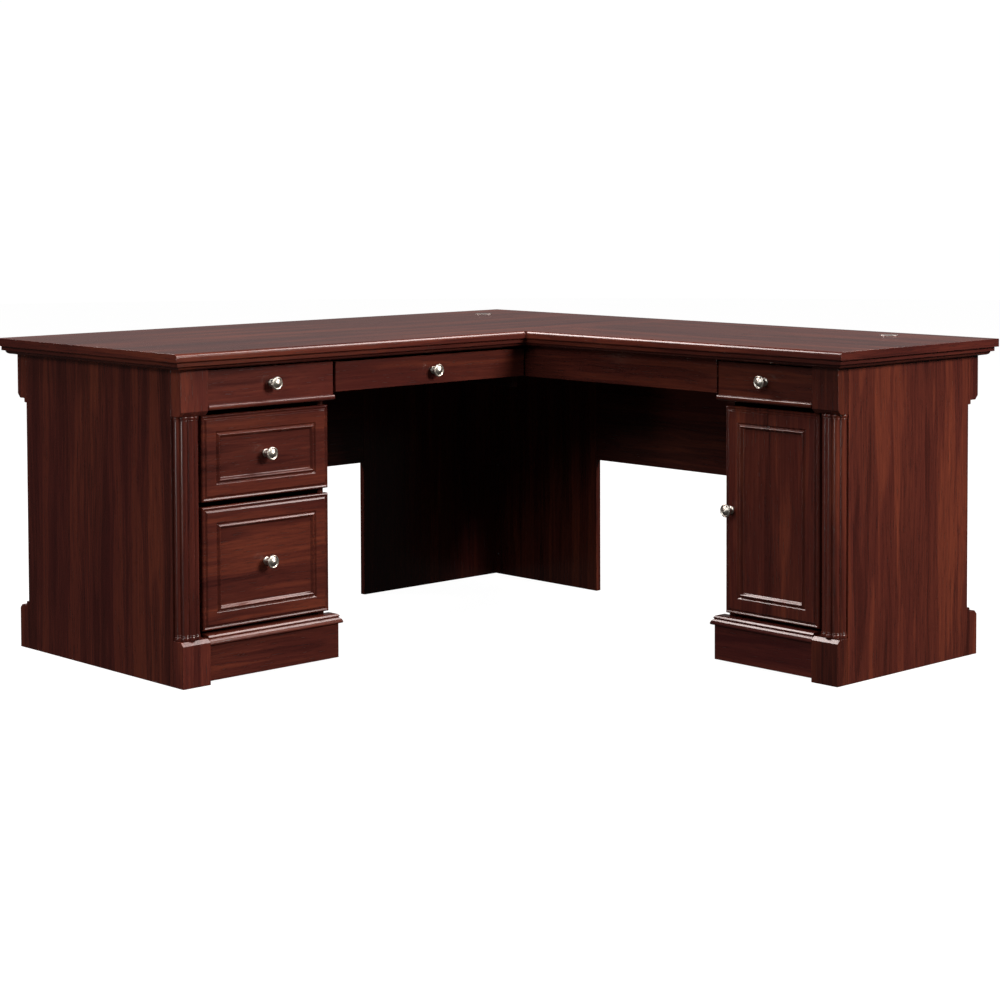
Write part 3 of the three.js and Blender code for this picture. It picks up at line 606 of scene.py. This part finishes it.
def banded_board(name, along, ease=0.7, steps=3):
    """Rings of a CAD board with all its edges eased, along its grain: its section inset at both ends."""
    low, high = (np.array(corner) * 1000 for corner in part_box(name))
    order = [i for i in range(3) if AXES[i] != along] + [AXES.index(along)]
    (a0, b0, c0), (a1, b1, c1) = low[order], high[order]
    section = eased([[a0, b0], [a1, b0], [a1, b1], [a0, b1]], [ease] * 4, 3)
    turn = np.radians(np.linspace(12, 90, steps + 1))
    inset, run = ease * (1 - np.sin(turn)), ease * (1 - np.cos(turn))
    rings = [np.insert(drawn_in(section, i), 2, c0 + r, axis=1) for i, r in zip(inset, run)]
    rings += [np.insert(drawn_in(section, i), 2, c1 - r, axis=1) for i, r in zip(inset[::-1], run[::-1])]
    return np.array(rings)[..., np.argsort(order)] / 1000


# A plainer, duller and darker laminate lines the inside.
inside = {
    axis: cherry_laminate(f"dark_cherry_laminate_inside_{axis.lower()}", axis, tone=0.55, gloss=0.42)
    for axis in AXES
}
boards = {
    "main_end_panel": "Z", "return_end_panel": "Z", "main_inner_panel": "Z", "return_inner_panel": "Z",
    "main_pedestal_back": "Z", "return_pedestal_back": "Z", "main_corner_leg": "Z", "return_corner_leg": "Z",
    "main_modesty_panel": "X", "return_modesty_panel": "Y", "return_apron": "Y", "main_plinth_rail": "X",
    "return_plinth_rail": "Y",
}
inside_boards = {
    "main_partition": "Z", "return_partition": "Z", "main_pedestal_bottom": "Y", "return_pedestal_bottom": "X",
    "cabinet_shelf": "Y", "keyboard_hanger": "Y",
}
for name, along in boards.items():
    add_piece(
        f"{name}_board", [skin(banded_board(name, along))], print_of.get(name, cherry)[along], "carcass",
        [name],
    )
for name, along in inside_boards.items():
    add_piece(
        f"{name}_board", [skin(banded_board(name, along))], inside[along], "carcass", [name]
    )


# ---- Plinth mouldings ---------------------------------------------------------------------------------------
# A rounded bead over a groove and a smaller step, wrapped and laid on the plinth rail. It turns the inner end
# of each pedestal and runs back to the panel.

bead_steps = [
    (6.4, 0.0), (7.9, 1.4), (7.9, 4.0), (5.6, 9.2), (2.0, 12.4), (0.6, 12.8), (0.6, 14.6), (2.0, 15.4),
    (2.0, 17.2), (-1.0, 20.8),
]
bead_radii = [0, 0.9, 1.2, 2.6, 5.0, 0.8, 0.6, 0.5, 0.5, 1.2, 2.2, 1.5, 0]

for wing in ("main", "return"):
    low, high = wing_box(f"{wing}_plinth_moulding", wing)
    z0, z1 = low[2], high[2]
    rail_face = wing_box(f"{wing}_plinth_rail", wing)[0][1]
    rail_end = wing_box(f"{wing}_plinth_rail", wing)[1][0]
    inside_out = rail_face - high[1]
    corners = [(inside_out, z0)] + [(out, z0 + up) for out, up in bead_steps] + [(-6.0, z1), (inside_out, z1)]
    section = eased(corners, bead_radii, 4)
    plans = [
        np.stack([np.full(len(section), low[0]), rail_face - section[:, 0]], -1),
        np.stack([rail_end + section[:, 0], rail_face - section[:, 0]], -1),
        np.stack([rail_end + section[:, 0], np.full(len(section), high[1])], -1),
    ]
    rings = [np.concatenate([plan, section[:, 1:]], 1) for plan in plans]
    add_piece(
        f"{wing}_plinth_bead", [skin(in_room(rings, wing))], cherry[grain_of[wing]["s"]], "carcass",
        [f"{wing}_plinth_moulding"],
    )


# ---- Upper drawer fronts ------------------------------------------------------------------------------------
# Flat fronts with a half-round bead wrapped into the bottom edge, and the plain drop-down front of the
# keyboard shelf. The grain runs level.

bead_proud = 8.4
bead_room = 8.5
bead_height = 13.0

for wing, body in (("main", "top_drawer"), ("return", "return_drawer")):
    name = f"{body}_front"
    low, high = wing_box(name, wing)
    face = low[1] + bead_room
    # The bead swells by a power of the sine from its top edge to its bottom one.
    t = np.linspace(0, np.pi, 13)
    middle = low[2] + bead_height / 2
    bead = np.stack([face - bead_proud * np.sin(t) ** 0.75, middle + bead_height / 2 * np.cos(t)], -1)
    flat = eased([(high[1], low[2]), (high[1], high[2]), (face, high[2])], [0.4, 0.5, 0.9], 3)
    outline = np.concatenate([flat, bead])
    rings = length_of(outline, low[0], high[0], 1.3, 4)
    add_piece(
        f"{name}_board", [skin(in_room(rings, wing))], print_of[name][grain_of[wing]["s"]], body,
        [name], crease=40,
    )
add_piece(
    "keyboard_front_board", [skin(banded_board("keyboard_front", "X", 0.9))], cherry["X"], "keyboard_flap",
    ["keyboard_front"],
)


# ---- Lower drawer fronts and door ---------------------------------------------------------------------------
# Boards with a stepped, rounded edge and a picture-frame moulding: a small bead, then an ogee down to a
# recessed panel. The laminate is pressed over all of it. The drawers' grain runs level, the door's upright.

recess = 4.8
front_profile = [
    (0.0, -16.4), (0.0, -4.8), (0.3, -4.0), (2.4, -1.9), (3.2, -1.6), (4.0, -1.8), (6.2, -3.6), (7.0, -3.9),
    (8.6, -3.9), (9.4, -3.6), (12.2, -0.5), (13.2, 0.0), (37.2, 0.0), (38.0, -0.4), (40.2, -2.9), (41.2, -3.2),
    (42.0, -2.8), (45.4, 0.9), (46.3, 1.3), (47.2, 1.2), (48.0, 0.6), (51.6, -3.6), (52.5, -4.5), (53.6, -4.8),
]


def mitred(corners, near=0.05):
    """A rectangle's corners, each with a point close by on both of its sides, so that shading turns only at
    the mitre."""
    corners = np.array(corners, float)
    made = []
    for i, at in enumerate(corners):
        for other in (corners[i - 1], None, corners[(i + 1) % 4]):
            made.append(at if other is None else at + near * (other - at) / np.linalg.norm(other - at))
    return made


def framed_rings(low, high, face):
    """Rectangular rings (s, d, z) from the back edge of a front to its panel, each one inset, at its own
    level."""
    rings = []
    for inset, level in front_profile:
        s0, s1, z0, z1 = low[0] + inset, high[0] - inset, low[2] + inset, high[2] - inset
        d = face - level
        rings.append(mitred([(s0, d, z0), (s1, d, z0), (s1, d, z1), (s0, d, z1)]))
    return np.array(rings)


lower_fronts = {
    "middle_drawer_front": ("main", "middle_drawer", "s"),
    "file_drawer_front": ("main", "file_drawer", "s"),
    "cabinet_door": ("return", "cabinet_door", "z"),
}
for name, (wing, body, along) in lower_fronts.items():
    low, high = wing_box(name, wing)
    add_piece(
        f"{name}_board", [skin(in_room(framed_rings(low, high, low[1]), wing))], cherry[grain_of[wing][along]],
        body, [name], crease=38,
    )


# ---- Knobs --------------------------------------------------------------------------------------------------
# Die-cast round knobs in satin nickel: a stepped base, a waisted neck, and a raised rim round a domed face.


def satin_metal(name, colour, roughness, dark, brush_mm=0.9):
    """Plated metal, rubbed satin: fine scratches vary its sheen, and faint clouding its colour. Real scratches
    are finer than brush_mm, the width at which they still show."""
    material, tree = new_material(name)
    place = node(tree, "ShaderNodeTexCoord").outputs["Object"]
    scratch_at = node(
        tree, "ShaderNodeMapping", {"Vector": place, "Scale": (1000 / brush_mm, 1000 / brush_mm, 90.0)}
    )
    scratch = node(tree, "ShaderNodeTexNoise", {"Vector": scratch_at.outputs[0], "Scale": 1.0, "Detail": 3.0})
    cloud = node(tree, "ShaderNodeTexNoise", {"Vector": place, "Scale": 160.0, "Detail": 3.0})
    cloud_share = node(
        tree, "ShaderNodeMapRange",
        {"Value": cloud.outputs["Fac"], "From Min": 0.4, "From Max": 0.75, "To Max": 0.5},
    )
    shade = node(
        tree, "ShaderNodeMix", {"Factor": cloud_share.outputs[0], "A": linear(colour), "B": linear(dark)},
        data_type="RGBA",
    )
    sheen = node(
        tree, "ShaderNodeMapRange",
        {"Value": scratch.outputs["Fac"], "To Min": roughness - 0.06, "To Max": roughness + 0.10},
    )
    bump = node(
        tree, "ShaderNodeBump", {"Height": scratch.outputs["Fac"], "Strength": 0.15, "Distance": 0.0001}
    )
    surface = node(
        tree, "ShaderNodeBsdfPrincipled",
        {
            "Base Color": shade.outputs["Result"], "Metallic": 1.0, "Roughness": sheen.outputs[0],
            "Normal": bump.outputs[0],
        },
    )
    node(tree, "ShaderNodeOutputMaterial", {"Surface": surface.outputs[0]})
    return material


# Nickel plate is a warm light grey with soft highlights.
satin_nickel = satin_metal("satin_nickel_plate", "#d6d0c6", 0.36, "#a39c91")
knob_profile = [
    (0.0, 0.3), (0.0, 8.9), (0.5, 9.3), (1.6, 9.3), (2.2, 8.7), (2.6, 7.6), (3.6, 6.2), (5.4, 5.3), (8.0, 4.9),
    (10.6, 5.1), (12.6, 6.1), (14.2, 8.2), (15.4, 10.9), (16.6, 13.3), (18.0, 14.8), (19.6, 15.45),
    (21.0, 15.3), (22.1, 14.5), (22.7, 13.4), (22.6, 12.5), (21.9, 11.7), (21.7, 11.1), (22.1, 10.5),
    (23.3, 9.2), (24.7, 7.0), (25.9, 4.4), (26.6, 2.0), (26.8, 0.3),
]


def turned(profile, centre, outward, points=48):
    """Rings of a (height, radius) profile turned round a d axis through centre: s = r cos t, z = r sin t."""
    t = np.linspace(0, 2 * np.pi, points + 1)[:-1]
    rings = []
    for height, radius in profile:
        d = np.full(points, centre[1] + outward * height)
        rings.append(np.stack([centre[0] + radius * np.cos(t), d, centre[2] + radius * np.sin(t)], -1))
    return np.array(rings)


knob_foot = 3.0
knobs = {
    "top_drawer_knob": ("main", "top_drawer", 0.0), "middle_drawer_knob": ("main", "middle_drawer", recess),
    "file_drawer_knob": ("main", "file_drawer", recess), "return_drawer_knob": ("return", "return_drawer", 0.0),
    "keyboard_knob": ("main", "keyboard_flap", 0.0), "cabinet_door_knob": ("return", "cabinet_door", 0.0),
}
for name, (wing, body, sunk) in knobs.items():
    low, high = wing_box(name, wing)
    middle = (low + high) / 2
    # On a framed front the knob's foot reaches back to the sunk panel.
    profile = [(height if height > knob_foot else height - sunk, radius) for height, radius in knob_profile]
    rings = turned(profile, (middle[0], high[1], middle[2]), -1)
    add_piece(
        f"{name}_turning", [skin(in_room(rings, wing))], satin_nickel, body, [name], crease=50
    )


# ---- Cable grommets -----------------------------------------------------------------------------------------
# Round caps in smoked brushed nickel, with a rounded flange over the hole's edge and a cable slot to one side.

# The plating is darker and duller than the knobs'.
smoked_nickel = satin_metal("smoked_nickel_plate", "#aaa4a1", 0.42, "#6f6a68")
cap_points = 72
lid_thickness = 2.0
wall_radius = 16.6


def level_ring(centre, s, d, z):
    """A ring (s, d, z) round a centre, all at one height."""
    return np.stack([centre[0] + s, centre[1] + d, np.full(len(s), z)], -1)


for wing, name in grommets.items():
    low, high = wing_box(name, wing)
    centre = (low + high)[:2] / 2
    t = np.linspace(0, 2 * np.pi, cap_points + 1)[:-1]
    cap_profile = [
        (18.6, low[2]), (18.6, high[2] - 1.4), (22.7, high[2] - 1.4), (23.0, high[2] - 1.0),
        (22.6, high[2] - 0.35), (21.4, high[2]), (19.4, high[2] - 0.15), (18.4, high[2] - 0.6),
    ]
    slot = eased([(-11, -15.5), (11, -15.5), (11, -4.5), (-11, -4.5)], [5.2] * 4, 17)
    slot_turn = np.arctan2(slot[:, 1] + 10, slot[:, 0])
    order = np.argsort(slot_turn % (2 * np.pi))
    slot = slot[order]
    lid_top = high[2] - 0.6
    lid_under = lid_top - lid_thickness
    rings = [level_ring(centre, r * np.cos(t), r * np.sin(t), z) for r, z in cap_profile]
    rings += [level_ring(centre, slot[:, 0], slot[:, 1], z) for z in (lid_top, lid_under)]
    for z in (lid_under, low[2]):
        rings.append(level_ring(centre, wall_radius * np.cos(t), wall_radius * np.sin(t), z))
    add_piece(
        f"{name}_cap", [skin(in_room(rings, wing), closed=True)], smoked_nickel, "carcass",
        [name], crease=40,
    )


# ---- Drawer boxes and keyboard tray -------------------------------------------------------------------------
# Open boxes of thin satin-laminated board, screwed to their fronts, and a tray with low sides for a keyboard.

box_wall = 12.0
box_floor = 6.0
tray_floor = 16.0

# A lighter, duller print than the fronts'.
box_print = {
    axis: cherry_laminate(f"drawer_box_laminate_{axis.lower()}", axis, tone=1.25, gloss=0.45) for axis in AXES
}


def open_box(low, high, wall, floor, ease=1.0):
    """Rectangular rings (s, d, z) from an open box's underside, up its outside, over its rim and down to its
    floor."""
    steps = [
        (ease, low[2]), (0.3 * ease, low[2] + 0.3 * ease), (0, low[2] + ease), (0, high[2] - ease),
        (0.3 * ease, high[2] - 0.3 * ease), (ease, high[2]), (wall - ease, high[2]),
        (wall - 0.3 * ease, high[2] - 0.3 * ease), (wall, high[2] - ease), (wall, low[2] + floor),
    ]
    rings = []
    for inset, z in steps:
        s0, s1, d0, d1 = low[0] + inset, high[0] - inset, low[1] + inset, high[1] - inset
        rings.append(mitred([(s0, d0, z), (s1, d0, z), (s1, d1, z), (s0, d1, z)]))
    return np.array(rings)


boxes = {
    "top_drawer_box": ("main", "top_drawer"), "middle_drawer_box": ("main", "middle_drawer"),
    "file_drawer_box": ("main", "file_drawer"), "return_drawer_box": ("return", "return_drawer"),
    "keyboard_tray": ("main", "keyboard_shelf"),
}
for name, (wing, body) in boxes.items():
    low, high = wing_box(name, wing)
    floor = tray_floor if name == "keyboard_tray" else box_floor
    rings = open_box(low, high, box_wall, floor)
    add_piece(
        f"{name}_boards", [skin(in_room(rings, wing))], box_print[grain_of[wing]["d"]], body,
        [name],
    )


# ---- Runners ------------------------------------------------------------------------------------------------
# Zinc-plated steel runners in the space beside each box: a channel screwed to the carcass and a rail inside
# it that is screwed to the box.

channel_thickness = 1.2
channel_depth = 9.6
rail_depth = 6.0
rail_in_channel = 8.0
runner_fit = 0.4

# Rolled steel strip with a cold, faintly clouded zinc plate.
zinc_plate = satin_metal("zinc_plated_steel", "#b4b7ba", 0.36, "#8e9194", 1.4)


def channel(side_s, open_s, z, height, d0, d1):
    """Rings of a C section that lies on one side and opens towards the other, from d0 to d1."""
    depth = abs(open_s - side_s)
    half, lip, t = height / 2, 2.2 * channel_thickness, channel_thickness
    outline = np.array([
        (0, -half), (depth, -half), (depth, -half + lip), (depth - t, -half + lip), (depth - t, -half + t),
        (t, -half + t), (t, half - t), (depth - t, half - t), (depth - t, half - lip), (depth, half - lip),
        (depth, half), (0, half),
    ])
    s = side_s + np.sign(open_s - side_s) * outline[:, 0]
    return np.array([np.stack([s, np.full(len(s), d), z + outline[:, 1]], -1) for d in (d0, d1)])


runner_sides = {
    "top_drawer_box": ("main_partition", "main_inner_panel", 34.0),
    "middle_drawer_box": ("main_partition", "main_inner_panel", 40.0),
    "file_drawer_box": ("main_partition", "main_inner_panel", 44.0),
    "return_drawer_box": ("return_partition", "return_inner_panel", 34.0),
    "keyboard_tray": ("main_inner_panel", "keyboard_hanger", 32.0),
}
for name, (left, right, height) in runner_sides.items():
    wing, body = boxes[name]
    low, high = wing_box(name, wing)
    walls = (wing_box(left, wing)[1][0] + runner_fit, wing_box(right, wing)[0][0] - runner_fit)
    sides = (low[0] - runner_fit, high[0] + runner_fit)
    z = (low[2] + high[2]) / 2
    d0, d1 = max(low[1], 40.0) + 4, high[1] - 6
    channels, rails = [], []
    for wall, side in zip(walls, sides):
        towards = np.sign(side - wall)
        outer = channel(wall, wall + towards * channel_depth, z, height, d0, d1)
        inner = channel(side, side - towards * rail_depth, z, height - rail_in_channel, low[1] + 6, d1 - 2)
        channels.append(skin(in_room(outer, wing)))
        rails.append(skin(in_room(inner, wing)))
    plain = name.replace("_box", "")
    add_piece(f"{plain}_runner_channels", channels, zinc_plate, "carcass")
    add_piece(f"{plain}_runner_rails", rails, zinc_plate, body)


# ---- Cabinet fittings ---------------------------------------------------------------------------------------
# Two concealed hinges, each a screwed plate with a clip-on arm inside and a pressed cup in the door, and four
# steel pins under the loose shelf.


def block_skin(low, high, wing, ease=0.6):
    """A small block (s, d, z) with eased edges."""
    section = eased([[low[1], low[2]], [high[1], low[2]], [high[1], high[2]], [low[1], high[2]]], [ease] * 4, 3)
    return skin(in_room(length_of(section, low[0], high[0], ease), wing))


cup_profile = [(-1.0, 0.3), (-1.0, 17.0), (1.2, 17.6), (1.2, 15.6), (0.2, 14.8), (0.2, 0.3)]
door_low, door_high = wing_box("cabinet_door", "return")
for place in ("upper", "lower"):
    name = f"cabinet_hinge_{place}"
    low, high = wing_box(name, "return")
    z = (low[2] + high[2]) / 2
    plate = block_skin(low, (low[0] + 2.0, high[1], high[2]), "return", 0.5)
    arm = block_skin((low[0] + 1.6, low[1], z - 7.0), (high[0], high[1] - 4, z + 7.0), "return", 2.0)
    add_piece(f"{name}_arm", [plate, arm], zinc_plate, "carcass", [name])
    cup_place = (door_low[0] + 24.0, door_high[1] - 0.3, z)
    cup = turned(cup_profile, cup_place, 1, 40)
    cup_wings = block_skin(
        (cup_place[0] - 5, door_high[1] - 0.4, z - 25), (cup_place[0] + 5, door_high[1] + 1.0, z + 25),
        "return", 0.5,
    )
    add_piece(
        f"cabinet_hinge_cup_{place}", [skin(in_room(cup, "return")), cup_wings], zinc_plate, "cabinet_door",
    )

pin_radius = 2.5
pin_points = 24
pin_steps = [(-6.0, 0.7), (-5.4, 1.0), (4.4, 1.0)]
shelf_low, shelf_high = wing_box("cabinet_shelf", "return")
pins = []
for s in (shelf_low[0] + 4.0, shelf_high[0] - 4.0):
    for d in (shelf_low[1] + 40, shelf_high[1] - 40):
        t = np.linspace(0, 2 * np.pi, pin_points + 1)[:-1]
        reach = np.sign(s - (shelf_low[0] + shelf_high[0]) / 2)
        rings = []
        for along, share in pin_steps:
            r = pin_radius * share
            z = shelf_low[2] - 2.9 + r * np.sin(t)
            rings.append(np.stack([np.full(pin_points, s + reach * along), d + r * np.cos(t), z], -1))
        pins.append(skin(in_room(np.array(rings), "return")))
add_piece("cabinet_shelf_pins", pins, zinc_plate, "carcass")


# ---- Corner leg screws --------------------------------------------------------------------------------------
# Three small plated screw heads down the corner leg, where its two boards are joined. They sit in the return's
# board, close to the other one.

head_profile = [(-0.2, 3.2), (0.5, 3.0), (0.9, 2.2), (0.9, 0.9), (0.3, 0.7), (0.3, 0.2)]
from_corner = 10.0

leg_low, leg_high = wing_box("return_corner_leg", "return")
heads = []
for z in (313.0, 57.0, 600.0):
    centre = (leg_high[0] - from_corner, leg_low[1] - 0.1, z)
    heads.append(skin(in_room(turned(head_profile, centre, -1, 24), "return")))
add_piece("corner_leg_screws", heads, zinc_plate, "carcass")


# ---- Finish -------------------------------------------------------------------------------------------------
# On every piece the eased edges take the shading of the flat faces beside them, as a pressed laminate does, so
# that faces stay flat and only the edges catch light.

for made in pieces:
    flat = made.modifiers.new("flat_faces_stay_flat", "WEIGHTED_NORMAL")
    flat.keep_sharp = True
